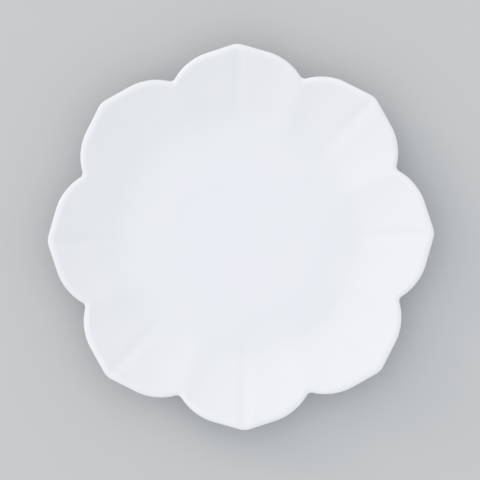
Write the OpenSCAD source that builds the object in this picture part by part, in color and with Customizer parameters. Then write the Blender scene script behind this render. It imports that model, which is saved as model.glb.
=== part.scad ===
// Scalloped dessert plate: a flat well, a rim of cupped and pointed petals, and a foot ring.
// Lengths are millimetres and angles degrees. The foot stands on z = 0.
// The Z axis runs through the middle of the plate, and one petal points along +X.

/* [Plate] */
// Width across two opposite petal tips
plate_across = 216; // [190:1:250]
// Number of petals round the rim
petals = 8; // [6:1:10]

/* [Petal outline] */
// How far the notches between the petals cut in from the circle through the tips
scallop_depth = 12.5; // [10:0.5:15]
// Radius of the rounded point of a petal
tip_radius = 10.2; // [6:0.2:14]
// Radius of the shoulder on each side of a petal
shoulder_radius = 32; // [26:1:38]
// Radius of the fillet at the bottom of a notch
notch_radius = 3.2; // [2:0.2:5]
// Turn of the straight edge beside the point, as a share of half a petal's angle
flank_share = 0.747; // [0.70:0.01:0.80]

/* [Well] */
// Radius of the flat floor, where the wall begins to rise
floor_radius = 63; // [58:1:68]
// Radius of the faint crest round the shallow dish in the floor
dish_radius = 41; // [34:1:48]
// Depth of the dish below its crest
dish_depth = 0.85; // [0:0.05:1.5]
// Height of the crest above the outer floor
crest_height = 0.5; // [0:0.05:0.8]

/* [Wall] */
// Radius of the curve from the floor into the wall
wall_fillet_radius = 38; // [30:1:48]
// Slope of the wall where that curve ends
wall_angle = 17.5; // [14:0.5:22]
// Radius of the gentle curve of the wall above it
wall_curve_radius = 180; // [150:10:260]

/* [Petal relief] */
// How far outside the dish's crest the petals begin to rise
petal_start_gap = 6; // [3:0.5:12]
// Radius at which they have risen fully
petal_full_radius = 82; // [74:1:90]
// How far a petal's sides rise above its middle
cup_height = 0.65; // [0:0.05:1.5]
// Height of the round ridge between two petals
ridge_height = 1.05; // [0:0.05:2]
// Reach of the ridge to each side of its crest
ridge_reach = 8; // [5:0.5:11]
// Depth of the vein pressed along the middle of a petal
vein_depth = 0.7; // [0:0.05:1.2]
// Reach of the vein to each side of its middle
vein_reach = 3.5; // [2.5:0.25:6]
// Radius in the well where the vein fades out
vein_start_radius = 50; // [46:1:58]
// Length over which the vein deepens from there
vein_fade_length = 42; // [30:1:55]

/* [Body] */
// Thickness of the body at the edge of the floor
floor_thickness = 4; // [3:0.25:6]
// How far inside the edge the lip's highest point lies
lip_reach = 2.2; // [1.6:0.1:3]
// Height of that point above the edge
lip_rise = 0.95; // [0.7:0.05:1.5]
// Radius of the lip below the edge
lip_under_radius = 1; // [0.6:0.1:1.4]

/* [Foot ring] */
// Height of the foot ring
foot_height = 3; // [2:0.5:6]
// How far inside the edge of the floor the ring's root lies
foot_inset = 5; // [2:0.5:9]
// Width of the ring's root, where it is luted to the body
foot_root_width = 6; // [4.5:0.5:9]
// Width of the ring at the face it stands on, before its edges are rounded
foot_face_width = 3; // [2:0.25:4]
// Radius of the two edges of that face
foot_edge_radius = 0.6; // [0.2:0.1:1]

/* [Hidden] */

// The outline of half a petal, from its point to the notch, in the plane of the rim
tip_circle_radius = plate_across/2;
half_petal = 180/petals;
flank_angle = flank_share*half_petal;
across_flank = [cos(flank_angle), sin(flank_angle)];
along_flank = [-sin(flank_angle), cos(flank_angle)];
tip_centre = [tip_circle_radius - tip_radius, 0];
flank_distance = tip_centre*across_flank + tip_radius;
notch_centre = (tip_circle_radius - scallop_depth + notch_radius)*[cos(half_petal), sin(half_petal)];
shoulder_to_notch = shoulder_radius + notch_radius;
shoulder_across = flank_distance - shoulder_radius;
shoulder_along = notch_centre*along_flank
    - sqrt(pow(shoulder_to_notch, 2) - pow(shoulder_across - notch_centre*across_flank, 2));
shoulder_centre = shoulder_across*across_flank + shoulder_along*along_flank;

// The angles at which the outline passes from one stretch to the next
tip_end = angle_of(tip_centre + tip_radius*across_flank);
flank_end = angle_of(shoulder_centre + shoulder_radius*across_flank);
shoulder_end = angle_of(shoulder_centre + (notch_centre - shoulder_centre)*shoulder_radius/shoulder_to_notch);

// The wall's curve out of the floor, and the radius at which the petals begin to rise
floor_level = foot_height + floor_thickness;
fillet_end_radius = floor_radius + wall_fillet_radius*sin(wall_angle);
fillet_rise = wall_fillet_radius*(1 - cos(wall_angle));
petal_start_radius = dish_radius + petal_start_gap;

// The foot ring's root and standing face share one middle line
foot_root_outer = floor_radius - foot_inset;
foot_root_inner = foot_root_outer - foot_root_width;
foot_middle = (foot_root_outer + foot_root_inner)/2;

// The mesh of the body: how many steps it takes, and where its rings lie across the rim
steps_per_half_petal = 13;
station_count = 2*petals*steps_per_half_petal;
crowding_share = 0.75;
floor_ring_shares = [0.5, 1];
rim_ring_shares = [0, 0.06, 0.12, 0.18, 0.25, 0.32, 0.4, 0.5, 0.62, 0.75, 0.88, 1];
underside_ring_shares = [0.8, 0.6, 0.43, 0.29, 0.17, 0.08, 0];
lip_steps_inward = 2;
lip_steps_outward = 3;
lip_steps_under = 2;
corner_steps = 4;
$fn = 96;

function angle_of(point) = atan2(point[1], point[0]);
function smooth(x) = let (t = max(0, min(1, x))) t*t*(3 - 2*t);
function bell(x) = exp(-x*x);

// Where a ray from the plate's middle meets a circle, on its far side (1) or its near side (-1)
function ray_to_circle(angle, centre, radius, side) =
    let (along = [cos(angle), sin(angle)]*centre)
    along + side*sqrt(radius*radius - centre*centre + along*along);

// Radius of the rim at an angle from the middle of a petal
function edge_radius(angle) =
    angle < tip_end ? ray_to_circle(angle, tip_centre, tip_radius, 1)
    : angle < flank_end ? flank_distance/cos(angle - flank_angle)
    : angle < shoulder_end ? ray_to_circle(angle, shoulder_centre, shoulder_radius, 1)
    : ray_to_circle(angle, notch_centre, notch_radius, -1);

// Slope and rise of the plain wall, with no petals on it
function wall_slope(radius) =
    radius < floor_radius ? 0
    : radius < fillet_end_radius ? asin((radius - floor_radius)/wall_fillet_radius)
    : asin((radius - fillet_end_radius)/wall_curve_radius + sin(wall_angle));
function wall_rise(radius) =
    radius < fillet_end_radius ? wall_fillet_radius*(1 - cos(wall_slope(radius)))
    : fillet_rise + wall_curve_radius*(cos(wall_angle) - cos(wall_slope(radius)));

// The floor's shallow dish, with its crest and the gentle fall outside it
function floor_relief(radius) =
    radius < dish_radius ? crest_height - dish_depth*(1 - pow(radius/dish_radius, 2))
    : crest_height*(1 - smooth((radius - dish_radius)/(floor_radius - dish_radius)));

// Petals cupped between round ridges. They rise gradually from a starting radius.
function petal_rise(radius, angle, start_radius) =
    smooth((radius - start_radius)/(petal_full_radius - start_radius))
    *(cup_height*(1 - cos(petals*angle))/2
    + ridge_height*bell(radius*sin(half_petal - angle)/ridge_reach));

// Depth of the vein along a petal's middle, which deepens from a starting radius and
// runs out through the petal's point
function vein(radius, angle, start_radius) =
    vein_depth*bell(radius*sin(angle)/vein_reach)*smooth((radius - start_radius)/vein_fade_length);

function top_height(radius, angle) =
    floor_level + floor_relief(radius) + wall_rise(radius)
    + petal_rise(radius, angle, petal_start_radius) - vein(radius, angle, vein_start_radius);

// A point of the underside: the wall carried square to itself through the body.
// The petals and veins show there too, but only outside the flat that the foot ring needs.
function underside_point(radius, angle, thickness) =
    let (
        slope = wall_slope(radius),
        relief = petal_rise(radius, angle, floor_radius) - vein(radius, angle, floor_radius)
    )
    [radius + thickness*sin(slope), floor_level + wall_rise(radius) + relief - thickness*cos(slope)];

// A point of the lip at a turn up or down from its edge. The lip is part of a flattened ellipse
// above the edge and part of a small circle below it.
function lip_point(edge, edge_height, turn) =
    let (
        reach = turn > 0 ? lip_reach : lip_under_radius,
        rise = turn > 0 ? lip_rise : lip_under_radius
    )
    [edge - reach*(1 - cos(turn)), edge_height + rise*sin(turn)];

// A section through the body at an angle from a petal's middle, as [radius, height] points
// from the floor over the lip and back to the flat under the floor. Both sides of the lip run
// smoothly into the wall.
function section(angle) =
    let (
        edge = edge_radius(angle),
        slope = wall_slope(edge - 2*lip_reach),
        lean = atan(lip_reach/lip_rise*tan(slope)),
        lip_radius = edge - lip_reach*(1 + sin(lean)),
        edge_height = top_height(lip_radius, angle) - lip_rise*cos(lean),
        lip_thickness = (edge - lip_radius)*sin(slope) + lip_rise*cos(lean)*cos(slope)
            + lip_under_radius*(1 - sin(slope))
    )
    [
        for (share = floor_ring_shares)
            let (radius = share*dish_radius)
            [radius, top_height(radius, angle)],
        for (share = rim_ring_shares)
            let (radius = petal_start_radius + share*(lip_radius - petal_start_radius))
            [radius, top_height(radius, angle)],
        for (step = [1 : lip_steps_inward])
            lip_point(edge, edge_height, 90 + lean*(1 - step/lip_steps_inward)),
        for (step = [1 : lip_steps_outward])
            lip_point(edge, edge_height, 90*(1 - step/lip_steps_outward)),
        for (step = [1 : lip_steps_under])
            lip_point(edge, edge_height, (slope - 90)*step/lip_steps_under),
        for (share = underside_ring_shares)
            underside_point(floor_radius + share*(lip_radius - floor_radius), angle,
                floor_thickness + share*(lip_thickness - floor_thickness))
    ];

// Stations run round the plate, closer together at the veins and at the notches
function share_of_half(station) =
    let (step = station % (2*steps_per_half_petal))
    (step <= steps_per_half_petal ? step : 2*steps_per_half_petal - step)/steps_per_half_petal;
function angle_from_middle(station) =
    let (share = share_of_half(station))
    half_petal*(share - crowding_share*sin(360*share)/(2*PI));
function direction(station) =
    let (
        half = floor(station/steps_per_half_petal),
        from_middle = angle_from_middle(station)
    )
    half % 2 == 0 ? half*half_petal + from_middle : (half + 1)*half_petal - from_middle;

module plate_body() {
    sections = [for (station = [0 : station_count - 1]) section(angle_from_middle(station))];
    ring_count = len(sections[0]);
    top_middle = station_count*ring_count;
    under_middle = top_middle + 1;
    points = [
        for (station = [0 : station_count - 1])
            for (point = sections[station])
                [point[0]*cos(direction(station)), point[0]*sin(direction(station)), point[1]],
        [0, 0, floor_level + floor_relief(0)],
        [0, 0, foot_height]
    ];
    faces = [
        for (station = [0 : station_count - 1])
            let (
                here = station*ring_count,
                next = (station + 1) % station_count*ring_count,
                mirrored = floor(station/steps_per_half_petal) % 2 == 1
            )
            each [
                [top_middle, next, here],
                [under_middle, here + ring_count - 1, next + ring_count - 1],
                for (ring = [0 : ring_count - 2])
                    each mirrored
                    ? [[here + ring, next + ring, next + ring + 1],
                       [here + ring, next + ring + 1, here + ring + 1]]
                    : [[here + ring, next + ring, here + ring + 1],
                       [next + ring, next + ring + 1, here + ring + 1]]
            ]
    ];
    color("#E9EDF2")
        polyhedron(points, faces, convexity = 4);
}

// The round-off between two sides of an outline that meet at a corner
function rounded_corner(before, corner, after, radius) =
    let (
        back = (before - corner)/norm(before - corner),
        on = (after - corner)/norm(after - corner),
        half_angle = acos(back*on)/2,
        centre = corner + (back + on)/norm(back + on)*radius/sin(half_angle),
        first = angle_of(corner + back*radius/tan(half_angle) - centre),
        sweep = 180 - 2*half_angle
    )
    [for (step = [0 : corner_steps])
        let (turn = first + sweep*step/corner_steps)
        centre + radius*[cos(turn), sin(turn)]];

module foot_ring() {
    root_inner = [foot_root_inner, foot_height];
    root_outer = [foot_root_outer, foot_height];
    face_inner = [foot_middle - foot_face_width/2, 0];
    face_outer = [foot_middle + foot_face_width/2, 0];
    color("#E3E1DB")
        rotate_extrude()
        polygon(concat(
            [root_inner],
            rounded_corner(root_inner, face_inner, face_outer, foot_edge_radius),
            rounded_corner(face_inner, face_outer, root_outer, foot_edge_radius),
            [root_outer]));
}

plate_body();
foot_ring();
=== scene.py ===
import bpy
import math
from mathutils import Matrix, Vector
from mathutils.kdtree import KDTree


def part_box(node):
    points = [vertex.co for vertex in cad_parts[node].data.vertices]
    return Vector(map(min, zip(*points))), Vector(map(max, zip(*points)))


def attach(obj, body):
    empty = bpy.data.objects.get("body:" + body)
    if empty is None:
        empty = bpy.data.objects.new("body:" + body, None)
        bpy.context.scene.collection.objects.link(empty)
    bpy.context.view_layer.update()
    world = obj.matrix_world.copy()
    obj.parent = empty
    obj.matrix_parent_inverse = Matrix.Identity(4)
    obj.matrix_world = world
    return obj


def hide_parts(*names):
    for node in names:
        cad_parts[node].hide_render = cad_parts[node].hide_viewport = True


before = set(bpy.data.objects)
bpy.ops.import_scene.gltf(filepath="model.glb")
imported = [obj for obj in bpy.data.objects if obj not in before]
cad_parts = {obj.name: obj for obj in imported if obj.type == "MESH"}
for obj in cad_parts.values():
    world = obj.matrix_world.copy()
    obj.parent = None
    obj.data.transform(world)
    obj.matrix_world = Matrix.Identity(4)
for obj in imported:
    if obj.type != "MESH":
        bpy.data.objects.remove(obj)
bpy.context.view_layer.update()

# Plate body
# One bat of white porcelain, turned to a round blank and pressed over a mould of eight petals.
# The lip is fettled round, then the whole piece is dipped in clear glaze and fired once more.
MM = 0.001
WELD_DISTANCE = 0.002 * MM
body_low, body_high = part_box("plate_body")
foot_low, foot_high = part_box("foot_ring")
tip_circle = (body_high.x - body_low.x) / 2 / MM
foot_height = (foot_high.z - foot_low.z) / MM

PETALS = 8
SCALLOP_DEPTH = 12.5
TIP_RADIUS = 10.2
SHOULDER_RADIUS = 32
NOTCH_RADIUS = 3.2
FLANK_SHARE = 0.747

FLOOR_RADIUS = 63
DISH_RADIUS = 41
DISH_DEPTH = 0.85
CREST_HEIGHT = 0.5
WALL_FILLET_RADIUS = 38
WALL_ANGLE = math.radians(17.5)
WALL_CURVE_RADIUS = 180

PETAL_START_RADIUS = 47
PETAL_FULL_RADIUS = 82
CUP_HEIGHT = 0.65
RIDGE_HEIGHT = 1.05
RIDGE_REACH = 8
VEIN_DEPTH = 0.7
VEIN_REACH = 3.5
VEIN_START_RADIUS = 50
VEIN_FADE_LENGTH = 42
FLOOR_THICKNESS = 3.98
LIP_REACH = 2.2
LIP_RISE = 0.95
LIP_UNDER_RADIUS = 1.0

# How far the glaze runs thin on the wall, and how much light is painted on round the floor's bend and
# beside the veins, as shares of their palest tints, and where they lie
GLAZE_DRAIN = 0.3
GLAZE_DRAIN_LENGTH = 20
# Painted light: a brightening round the floor's bend, and a light band painted beside each vein
FLOOR_EDGE_REACH = 14
FLOOR_EDGE_PAINTED_LIGHT = 0.09
VEIN_EDGE = 4
VEIN_EDGE_REACH = 1.8
VEIN_EDGE_PAINTED_LIGHT = 0.08

# How finely the blank is turned: steps across the floor, up the petals, over the lip and back under
FLOOR_STEPS = 18
PETAL_STEPS = 48
LIP_STEPS_INWARD = 4
LIP_STEPS_OUTWARD = 10
LIP_STEPS_UNDER = 6
UNDERSIDE_STEPS = 36
FOOT_WELL_STEPS = 5
STEPS_PER_HALF_PETAL = 36
CROWDING = 0.75


def point_at(angle, distance=1.0):
    """A point of the plan at an angle and a distance from the middle."""
    return distance * Vector((math.cos(angle), math.sin(angle)))


def angle_of(point):
    """The angle of a point of the plan, from the middle."""
    return math.atan2(point.y, point.x)


# Half a petal's outline in plan: a round point, a straight flank, a shoulder and the notch's fillet
half_petal = math.pi / PETALS
flank_angle = FLANK_SHARE * half_petal
across_flank = point_at(flank_angle)
along_flank = point_at(flank_angle + math.pi / 2)
tip_centre = Vector((tip_circle - TIP_RADIUS, 0))
flank_distance = tip_centre.dot(across_flank) + TIP_RADIUS
notch_centre = point_at(half_petal, tip_circle - SCALLOP_DEPTH + NOTCH_RADIUS)
shoulder_across = flank_distance - SHOULDER_RADIUS
notch_reach = shoulder_across - notch_centre.dot(across_flank)
shoulder_along = notch_centre.dot(along_flank) - math.sqrt(
    (SHOULDER_RADIUS + NOTCH_RADIUS) ** 2 - notch_reach ** 2)
shoulder_centre = shoulder_across * across_flank + shoulder_along * along_flank
to_notch = (notch_centre - shoulder_centre).normalized()
tip_end = angle_of(tip_centre + TIP_RADIUS * across_flank)
flank_end = angle_of(shoulder_centre + SHOULDER_RADIUS * across_flank)
shoulder_end = angle_of(shoulder_centre + SHOULDER_RADIUS * to_notch)


def ray_to_circle(angle, centre, radius, side):
    """Where a ray from the middle meets a circle, on its far side (1) or its near side (-1)."""
    along = point_at(angle).dot(centre)
    return along + side * math.sqrt(radius ** 2 - centre.length_squared + along ** 2)


def edge_radius(angle):
    """Radius of the rim at an angle from the middle of a petal."""
    if angle < tip_end:
        return ray_to_circle(angle, tip_centre, TIP_RADIUS, 1)
    if angle < flank_end:
        return flank_distance / math.cos(angle - flank_angle)
    if angle < shoulder_end:
        return ray_to_circle(angle, shoulder_centre, SHOULDER_RADIUS, 1)
    return ray_to_circle(angle, notch_centre, NOTCH_RADIUS, -1)


def smooth(share):
    """A rise from 0 to 1 that is level at both ends."""
    share = max(0.0, min(1.0, share))
    return share * share * (3 - 2 * share)


def bell(share):
    """A round bump: 1 in the middle and fading out to both sides."""
    return math.exp(-share * share)


# The wall leaves the floor in a fillet and climbs in a long gentle curve
floor_level = foot_height + FLOOR_THICKNESS
fillet_end_radius = FLOOR_RADIUS + WALL_FILLET_RADIUS * math.sin(WALL_ANGLE)
fillet_rise = WALL_FILLET_RADIUS * (1 - math.cos(WALL_ANGLE))


def wall_slope(radius):
    """How steep the wall is at a radius, as an angle."""
    if radius < FLOOR_RADIUS:
        return 0.0
    if radius < fillet_end_radius:
        return math.asin((radius - FLOOR_RADIUS) / WALL_FILLET_RADIUS)
    return math.asin((radius - fillet_end_radius) / WALL_CURVE_RADIUS + math.sin(WALL_ANGLE))


def wall_rise(radius):
    """How far the wall stands above the floor at a radius."""
    if radius < fillet_end_radius:
        return WALL_FILLET_RADIUS * (1 - math.cos(wall_slope(radius)))
    return fillet_rise + WALL_CURVE_RADIUS * (math.cos(WALL_ANGLE) - math.cos(wall_slope(radius)))


def floor_relief(radius):
    """The shallow dish in the floor, its faint crest, and the fall outside it."""
    if radius < DISH_RADIUS:
        return CREST_HEIGHT - DISH_DEPTH * (1 - (radius / DISH_RADIUS) ** 2)
    return CREST_HEIGHT * (1 - smooth((radius - DISH_RADIUS) / (FLOOR_RADIUS - DISH_RADIUS)))


def petal_relief(radius, angle, petal_start, vein_start):
    """Petals cupped between round ridges. The vein down each middle runs out through the point."""
    cup = CUP_HEIGHT * (1 - math.cos(PETALS * angle)) / 2
    ridge = RIDGE_HEIGHT * bell(radius * math.sin(half_petal - angle) / RIDGE_REACH)
    rise = (cup + ridge) * smooth((radius - petal_start) / (PETAL_FULL_RADIUS - petal_start))
    vein = bell(radius * math.sin(angle) / VEIN_REACH)
    return rise - VEIN_DEPTH * vein * smooth((radius - vein_start) / VEIN_FADE_LENGTH)


def top_height(radius, angle):
    """Height of the plate's upper side above the table."""
    return (floor_level + floor_relief(radius) + wall_rise(radius)
            + petal_relief(radius, angle, PETAL_START_RADIUS, VEIN_START_RADIUS))


def underside_point(radius, angle, thickness):
    """Underneath, the floor stays flat over the foot and the petals and veins begin outside it."""
    slope = wall_slope(radius)
    height = floor_level + wall_rise(radius) + petal_relief(radius, angle, FLOOR_RADIUS, FLOOR_RADIUS)
    return radius + thickness * math.sin(slope), height - thickness * math.cos(slope)


def steps(first, last, count):
    """Evenly spaced values after the first, up to the last."""
    return [first + (last - first) * step / count for step in range(1, count + 1)]


def lip_point(edge, edge_height, turn):
    """The lip is part of a flattened ellipse above its edge and part of a small circle below it."""
    reach, rise = (LIP_REACH, LIP_RISE) if turn > 0 else (LIP_UNDER_RADIUS, LIP_UNDER_RADIUS)
    return edge - reach * (1 - math.cos(turn)), edge_height + rise * math.sin(turn)


def glaze_drained(radius):
    """How far the glaze has drained down the wall. It is 0 where the glaze lies even."""
    return GLAZE_DRAIN * smooth((radius - FLOOR_RADIUS) / GLAZE_DRAIN_LENGTH)


def painted_light_brightening(radius, angle):
    """Painted light: a brightening painted on round the bend at the floor's edge, and a light band
    painted beside both edges of the vein.
    """
    bend = FLOOR_EDGE_PAINTED_LIGHT * bell((radius - FLOOR_RADIUS) / FLOOR_EDGE_REACH)
    edge = VEIN_EDGE_PAINTED_LIGHT * bell((radius * math.sin(angle) - VEIN_EDGE) / VEIN_EDGE_REACH)
    return bend + edge * smooth((radius - VEIN_START_RADIUS) / VEIN_FADE_LENGTH)


def section(angle):
    """The plate's section at an angle from a petal's middle, in rows of four: radius, height, how far
    the glaze has drained there, and how much light is painted on there.

    It runs from the middle of the floor over the lip and back to the middle underneath."""
    edge = edge_radius(angle)
    slope = wall_slope(edge - 2 * LIP_REACH)
    lean = math.atan(LIP_REACH / LIP_RISE * math.tan(slope))
    lip_radius = edge - LIP_REACH * (1 + math.sin(lean))
    edge_height = top_height(lip_radius, angle) - LIP_RISE * math.cos(lean)
    along_lip = (edge - lip_radius) * math.sin(slope)
    above_edge = LIP_RISE * math.cos(lean) * math.cos(slope)
    below_edge = LIP_UNDER_RADIUS * (1 - math.sin(slope))
    lip_thickness = along_lip + above_edge + below_edge
    rows = []
    floor_radii = [0.0] + steps(0, PETAL_START_RADIUS, FLOOR_STEPS)
    for radius in floor_radii + steps(PETAL_START_RADIUS, lip_radius, PETAL_STEPS):
        rows.append((radius, top_height(radius, angle), glaze_drained(radius),
                     painted_light_brightening(radius, angle)))
    crest = math.pi / 2
    turns = (steps(crest + lean, crest, LIP_STEPS_INWARD) + steps(crest, 0, LIP_STEPS_OUTWARD)
             + steps(0, slope - crest, LIP_STEPS_UNDER))
    for turn in turns:
        rows.append((*lip_point(edge, edge_height, turn), GLAZE_DRAIN, 0.0))
    for share in steps(1.0, 0.0, UNDERSIDE_STEPS):
        radius = FLOOR_RADIUS + share * (lip_radius - FLOOR_RADIUS)
        thickness = FLOOR_THICKNESS + share * (lip_thickness - FLOOR_THICKNESS)
        rows.append((*underside_point(radius, angle, thickness), GLAZE_DRAIN * smooth(share), 0.0))
    for radius in steps(FLOOR_RADIUS, 0, FOOT_WELL_STEPS):
        rows.append((radius, foot_height, 0.0, 0.0))
    return rows


def turn_on_wheel(name, outline, segments, closed):
    """Draws an outline of (radius, height) points in mm and spins it into a solid round Z."""
    bpy.ops.object.select_all(action="DESELECT")
    bpy.ops.mesh.primitive_plane_add(size=MM)
    piece = bpy.context.object
    piece.name = piece.data.name = name
    bpy.ops.object.mode_set(mode="EDIT")
    bpy.ops.mesh.select_all(action="SELECT")
    bpy.ops.mesh.merge(type="CENTER")
    bpy.ops.transform.translate(value=(outline[0][0] * MM, 0, outline[0][1] * MM))
    ends = outline[1:] + outline[:1] if closed else outline[1:]
    for start, end in zip(outline, ends):
        move = ((end[0] - start[0]) * MM, 0, (end[1] - start[1]) * MM)
        bpy.ops.mesh.extrude_region_move(TRANSFORM_OT_translate={"value": move})
    bpy.ops.mesh.select_all(action="SELECT")
    bpy.ops.mesh.remove_doubles(threshold=WELD_DISTANCE)
    bpy.ops.mesh.spin(steps=segments, angle=2 * math.pi, center=(0, 0, 0), axis=(0, 0, 1))
    bpy.ops.mesh.select_all(action="SELECT")
    bpy.ops.mesh.remove_doubles(threshold=WELD_DISTANCE)
    bpy.ops.mesh.normals_make_consistent(inside=False)
    bpy.ops.object.mode_set(mode="OBJECT")
    bpy.ops.object.shade_smooth()
    return piece


def crowded(step):
    """The angle of a step across half a petal, with the steps closer together at both ends."""
    share = step / STEPS_PER_HALF_PETAL
    return half_petal * (share - CROWDING * math.sin(2 * math.pi * share) / (2 * math.pi))


# The round blank has the petal point's section all the way round. Each of its rings is then pressed
# to the petals: a point keeps its place along the section and takes the section of its own angle.
segments = 2 * PETALS * STEPS_PER_HALF_PETAL
blank = [(row[0], row[1]) for row in section(0.0)]
body = turn_on_wheel("porcelain_body", blank, segments, closed=False)
rows_on_blank = KDTree(len(blank))
for number, (radius, height) in enumerate(blank):
    rows_on_blank.insert((radius, 0, height), number)
rows_on_blank.balance()
sections = [section(crowded(step)) for step in range(STEPS_PER_HALF_PETAL + 1)]
# The second attribute carries painted light: a brightening round the floor's bend and beside the veins
for name in ("glaze_drained", "painted_light_brightening"):
    body.data.attributes.new(name, "FLOAT", "POINT")
drained_at = body.data.attributes["glaze_drained"].data
painted_light_at = body.data.attributes["painted_light_brightening"].data
for vertex in body.data.vertices:
    around = math.atan2(vertex.co.y, vertex.co.x)
    radius = math.hypot(vertex.co.x, vertex.co.y) / MM
    row = rows_on_blank.find((radius, 0, vertex.co.z / MM))[1]
    step = round(around / half_petal * STEPS_PER_HALF_PETAL) % segments
    half, step_in_half = divmod(step, STEPS_PER_HALF_PETAL)
    if half % 2 == 0:
        from_middle = step_in_half
        direction = half * half_petal + crowded(from_middle)
    else:
        from_middle = STEPS_PER_HALF_PETAL - step_in_half
        direction = (half + 1) * half_petal - crowded(from_middle)
    pressed_radius, pressed_height, drained, painted_light = sections[from_middle][row]
    plan = point_at(direction, pressed_radius)
    vertex.co = (plan.x * MM, plan.y * MM, pressed_height * MM)
    drained_at[vertex.index].value = drained
    painted_light_at[vertex.index].value = painted_light


def linear(code):
    """An sRGB hex colour as linear red, green, blue and alpha."""
    parts = [int(code[place:place + 2], 16) / 255 for place in (1, 3, 5)]
    parts = [part / 12.92 if part <= 0.04045 else ((part + 0.055) / 1.055) ** 2.4 for part in parts]
    return parts + [1.0]


def add_node(tree, kind, inputs, **settings):
    """Adds a shader node. Each input is a plain value or the output socket that feeds it."""
    node = tree.nodes.new("ShaderNode" + kind)
    for name, value in settings.items():
        setattr(node, name, value)
    for name, value in inputs.items():
        if isinstance(value, bpy.types.NodeSocket):
            tree.links.new(value, node.inputs[name])
        else:
            node.inputs[name].default_value = value
    return node


def empty_material(name):
    """A new material, with its node tree cleared."""
    material = bpy.data.materials.new(name)
    material.use_nodes = True
    material.node_tree.nodes.clear()
    return material, material.node_tree


# Hard porcelain under clear feldspar glaze, dipped and fired: a cool white body with a wet gloss,
# cloudy over some 45 mm. It is a warmer white where the glaze has drained off the wall and the lip.
# Round the floor's bend and beside the veins a brighter white is painted on as light. Its skin is very
# slightly wavy, with swells some 12 mm across, and its gloss a little uneven.
GLAZE_EVEN = "#E8EBF0"
GLAZE_DRAINED = "#EEEEF1"
# The brighter white that is painted on as light round the floor's bend and beside the veins
PAINTED_LIGHT_WHITE = "#F2F5F5"
BODY_CLOUD = "#E7E9EF"
CLOUD_SIZE = 45 * MM
SWELL_SIZE = 12 * MM
SWELL_HEIGHT = 0.004 * MM
GLOSSIEST = 0.08
DULLEST = 0.12
GLAZE_IOR = 1.5

# The Mix node's colour sockets share their names with others, so they go by number
MIX_A = 6
MIX_B = 7
MIX_COLOUR = 2


def glaze_clouds(tree, place):
    """The body's faint clouds, from 0 to 1."""
    clouds = add_node(tree, "TexNoise", {"Vector": place, "Scale": 1 / CLOUD_SIZE, "Detail": 2.0})
    return clouds.outputs["Fac"]


def glaze_colour(tree, clouds, drained):
    """The glazed body's colour, from its clouds and how far the glaze has drained there."""
    even = add_node(tree, "Mix", {0: clouds, MIX_A: linear(GLAZE_EVEN), MIX_B: linear(BODY_CLOUD)},
                    data_type="RGBA").outputs[MIX_COLOUR]
    return add_node(tree, "Mix", {0: drained, MIX_A: even, MIX_B: linear(GLAZE_DRAINED)},
                    data_type="RGBA").outputs[MIX_COLOUR]


def glaze_swells(tree, place):
    """The slow waves of the glaze skin, as a normal."""
    swells = add_node(tree, "TexNoise", {"Vector": place, "Scale": 1 / SWELL_SIZE, "Detail": 1.0})
    return add_node(tree, "Bump", {"Height": swells.outputs["Fac"], "Distance": SWELL_HEIGHT,
                                   "Strength": 1.0}).outputs["Normal"]


glazed_porcelain, tree = empty_material("clear_glazed_porcelain")
place = add_node(tree, "TexCoord", {}).outputs["Object"]
drained = add_node(tree, "Attribute", {}, attribute_name="glaze_drained").outputs["Fac"]
painted_light = add_node(tree, "Attribute", {}, attribute_name="painted_light_brightening").outputs["Fac"]
clouds = glaze_clouds(tree, place)
gloss = add_node(tree, "MapRange", {"Value": clouds, "To Min": GLOSSIEST,
                                    "To Max": DULLEST}).outputs[0]
# Painted light: a brighter white mixed in round the floor's bend and beside the veins
colour = add_node(tree, "Mix", {0: painted_light, MIX_A: glaze_colour(tree, clouds, drained),
                                MIX_B: linear(PAINTED_LIGHT_WHITE)}, data_type="RGBA").outputs[MIX_COLOUR]
surface = add_node(tree, "BsdfPrincipled", {
    "Base Color": colour,
    "Normal": glaze_swells(tree, place),
    "Roughness": gloss,
    "IOR": GLAZE_IOR,
})
add_node(tree, "OutputMaterial", {"Surface": surface.outputs[0]})
body.data.materials.append(glazed_porcelain)
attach(body, "root")
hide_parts("plate_body")

# Foot ring
# A low ring of the same porcelain, luted under the floor with slip that leaves a small fillet.
# Its sides are glazed; the face it stands on is wiped bare before the firing and rubbed smooth after.
FOOT_FACE_WIDTH = 3
FOOT_ROOT_WIDTH = 6
FOOT_EDGE_RADIUS = 0.6
SLIP_FILLET = 1.0
FOOT_SEGMENTS = 288
CORNER_STEPS = 6
foot_outer = foot_high.x / MM
foot_inner = foot_outer - FOOT_ROOT_WIDTH
foot_middle = (foot_outer + foot_inner) / 2


def rounded_corner(before, corner, after, radius, count):
    """Points of the round-off where two sides of an outline meet."""
    back = (before - corner).normalized()
    on = (after - corner).normalized()
    half_angle = back.angle(on) / 2
    centre = corner + (back + on).normalized() * radius / math.sin(half_angle)
    start = corner + back * radius / math.tan(half_angle) - centre
    sweep = math.pi - 2 * half_angle
    if back.x * on.y - back.y * on.x > 0:
        sweep = -sweep
    first = angle_of(start)
    return [centre + point_at(first + sweep * step / count, radius) for step in range(count + 1)]


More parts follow.
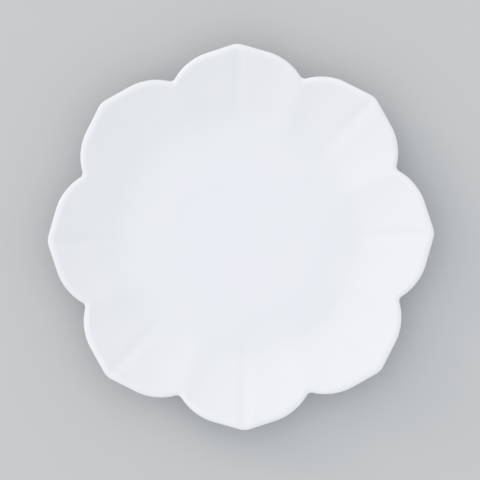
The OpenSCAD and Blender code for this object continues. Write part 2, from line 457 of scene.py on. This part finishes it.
seat_inner = Vector((foot_inner - 2 * SLIP_FILLET, foot_height))
root_inner = Vector((foot_inner, foot_height))
face_inner = Vector((foot_middle - FOOT_FACE_WIDTH / 2, 0))
face_outer = Vector((foot_middle + FOOT_FACE_WIDTH / 2, 0))
root_outer = Vector((foot_outer, foot_height))
seat_outer = Vector((foot_outer + 2 * SLIP_FILLET, foot_height))
foot_outline = (rounded_corner(seat_inner, root_inner, face_inner, SLIP_FILLET, CORNER_STEPS)
                + rounded_corner(root_inner, face_inner, face_outer, FOOT_EDGE_RADIUS, CORNER_STEPS)
                + rounded_corner(face_inner, face_outer, root_outer, FOOT_EDGE_RADIUS, CORNER_STEPS)
                + rounded_corner(face_outer, root_outer, seat_outer, SLIP_FILLET, CORNER_STEPS))
foot_profile = [tuple(point) for point in foot_outline]
foot = turn_on_wheel("porcelain_foot", foot_profile, FOOT_SEGMENTS, closed=True)

# Bare fired porcelain, wiped with a sponge: a matt, slightly warm white with a fine grain, which shows
# below a line that wavers with the hand. Above that line is the same clear glaze as on the body.
BARE_PORCELAIN = "#DEDBD4"
BARE_ROUGHNESS = 0.6
BARE_HEIGHT = 0.5 * MM
GLAZE_EDGE = 0.15 * MM
WIPE_WAVE = 7 * MM
WIPE_UNEVEN = 0.25 * MM
GRAIN_SIZE = 0.6 * MM
GRAIN_HEIGHT = 0.01 * MM
wiped_foot, tree = empty_material("wiped_foot_porcelain")
place = add_node(tree, "TexCoord", {}).outputs["Object"]
height = add_node(tree, "SeparateXYZ", {0: place}).outputs["Z"]
waver = add_node(tree, "TexNoise", {"Vector": place, "Scale": 1 / WIPE_WAVE, "Detail": 2.0})
line = add_node(tree, "Math", {0: waver.outputs["Fac"], 1: WIPE_UNEVEN, 2: height},
                operation="MULTIPLY_ADD").outputs[0]
glazed = add_node(tree, "MapRange", {"Value": line, "From Min": BARE_HEIGHT,
                                     "From Max": BARE_HEIGHT + GLAZE_EDGE}).outputs[0]
drained = add_node(tree, "Math", {0: 1.0, 1: glazed}, operation="SUBTRACT").outputs[0]
grain = add_node(tree, "TexNoise", {"Vector": place, "Scale": 1 / GRAIN_SIZE, "Detail": 3.0})
grit = add_node(tree, "Bump", {"Height": grain.outputs["Fac"], "Distance": GRAIN_HEIGHT,
                               "Strength": 1.0}).outputs["Normal"]
colour = add_node(tree, "Mix", {0: glazed, MIX_A: linear(BARE_PORCELAIN),
                                MIX_B: glaze_colour(tree, glaze_clouds(tree, place), drained)},
                  data_type="RGBA").outputs[MIX_COLOUR]
gloss = add_node(tree, "MapRange", {"Value": glazed, "To Min": BARE_ROUGHNESS,
                                    "To Max": (GLOSSIEST + DULLEST) / 2}).outputs[0]
surface = add_node(tree, "BsdfPrincipled", {
    "Base Color": colour,
    "Roughness": gloss,
    "Normal": grit,
    "IOR": GLAZE_IOR,
})
add_node(tree, "OutputMaterial", {"Surface": surface.outputs[0]})
foot.data.materials.append(wiped_foot)
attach(foot, "root")
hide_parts("foot_ring")

# Studio table
# A broad sheet of matt, pale grey paper that the plate lies on. It isn't part of the object, and
# reaches well past the view on all sides.
PAPER = "#C4C6C8"
PAPER_ROUGHNESS = 0.9
PAPER_SHINE = 0.2
TABLE_WIDTH = 8.0
bpy.ops.object.select_all(action="DESELECT")
bpy.ops.mesh.primitive_plane_add(size=TABLE_WIDTH)
table = bpy.context.object
table.name = "studio_table"
paper, tree = empty_material("matt_grey_paper")
surface = add_node(tree, "BsdfPrincipled", {
    "Base Color": linear(PAPER),
    "Roughness": PAPER_ROUGHNESS,
    "Specular IOR Level": PAPER_SHINE,
})
add_node(tree, "OutputMaterial", {"Surface": surface.outputs[0]})
table.data.materials.append(paper)

# Light
# Even pale air all round, a low softbox on the upper left that models the petals, and a large, weak
# one above it, whose near edge almost reaches the camera. Past the table's edge, and in the gloss of
# the glaze, a backdrop of about the paper's grey shows instead of the air.
SKY = "#FCFEFF"
SKY_STRENGTH = 0.953
BACKDROP = "#C0C3C5"
SOFTBOX_COLOUR = "#FFF0E6"
SOFTBOX_TURN = math.radians(144.8)


def add_softbox(name, rise, distance, depth, width, watts):
    """Adds a rectangular lamp on the upper left, at a rise above the table, aimed at the plate."""
    lamp = bpy.data.lights.new(name, "AREA")
    lamp.shape = "RECTANGLE"
    lamp.size = width
    lamp.size_y = depth
    lamp.energy = watts
    lamp.color = linear(SOFTBOX_COLOUR)[:3]
    stand = bpy.data.objects.new(name, lamp)
    below = point_at(SOFTBOX_TURN, distance * math.cos(rise))
    stand.location = (below.x, below.y, distance * math.sin(rise))
    stand.rotation_euler = stand.location.to_track_quat("Z", "Y").to_euler()
    stand.visible_camera = False
    bpy.context.collection.objects.link(stand)


world = bpy.data.worlds.new("studio_air")
world.use_nodes = True
world.node_tree.nodes.clear()
air = add_node(world.node_tree, "Background", {"Color": linear(SKY), "Strength": SKY_STRENGTH})
backdrop = add_node(world.node_tree, "Background", {"Color": linear(BACKDROP), "Strength": 1.0})
ray = add_node(world.node_tree, "LightPath", {}).outputs
seen = ray["Is Camera Ray"]
for kind in ("Is Glossy Ray", "Is Transmission Ray"):
    seen = add_node(world.node_tree, "Math", {0: seen, 1: ray[kind]}, operation="MAXIMUM").outputs[0]
behind = add_node(world.node_tree, "MixShader", {0: seen, 1: air.outputs[0], 2: backdrop.outputs[0]})
add_node(world.node_tree, "OutputWorld", {"Surface": behind.outputs[0]})
bpy.context.scene.world = world
add_softbox("low_softbox", rise=math.radians(19), distance=3.0, depth=0.86, width=0.86, watts=12.3)
add_softbox("high_softbox", rise=math.radians(47.6), distance=2.17, depth=3.2, width=5.2, watts=9.8)

# Camera
# It looks straight down through a long lens from well above the rim, as in the photograph, where the
# plate lies turned a little and almost in the middle of the frame.
FILM_WIDTH = 36
IMAGE_WIDTH = 480
TIP_CIRCLE_PIXELS = 193.26
MIDDLE_X_PIXEL = 240.9
MIDDLE_Y_PIXEL = 236.95
TURN_IN_PHOTOGRAPH = math.radians(1.16)
CAMERA_ABOVE_RIM = 2.5
metres_per_pixel = tip_circle * MM / TIP_CIRCLE_PIXELS
camera_data = bpy.data.cameras.new("camera")
camera_data.sensor_width = FILM_WIDTH
camera_data.lens = FILM_WIDTH * CAMERA_ABOVE_RIM / (IMAGE_WIDTH * metres_per_pixel)
camera = bpy.data.objects.new("camera", camera_data)
right = point_at(-TURN_IN_PHOTOGRAPH, metres_per_pixel)
up = point_at(math.pi / 2 - TURN_IN_PHOTOGRAPH, metres_per_pixel)
aim = (IMAGE_WIDTH / 2 - MIDDLE_X_PIXEL) * right + (MIDDLE_Y_PIXEL - IMAGE_WIDTH / 2) * up
camera.location = (aim.x, aim.y, body_high.z + CAMERA_ABOVE_RIM)
camera.rotation_euler = (0, 0, -TURN_IN_PHOTOGRAPH)
bpy.context.collection.objects.link(camera)
bpy.context.scene.camera = camera
bpy.context.scene.view_settings.view_transform = "Standard"
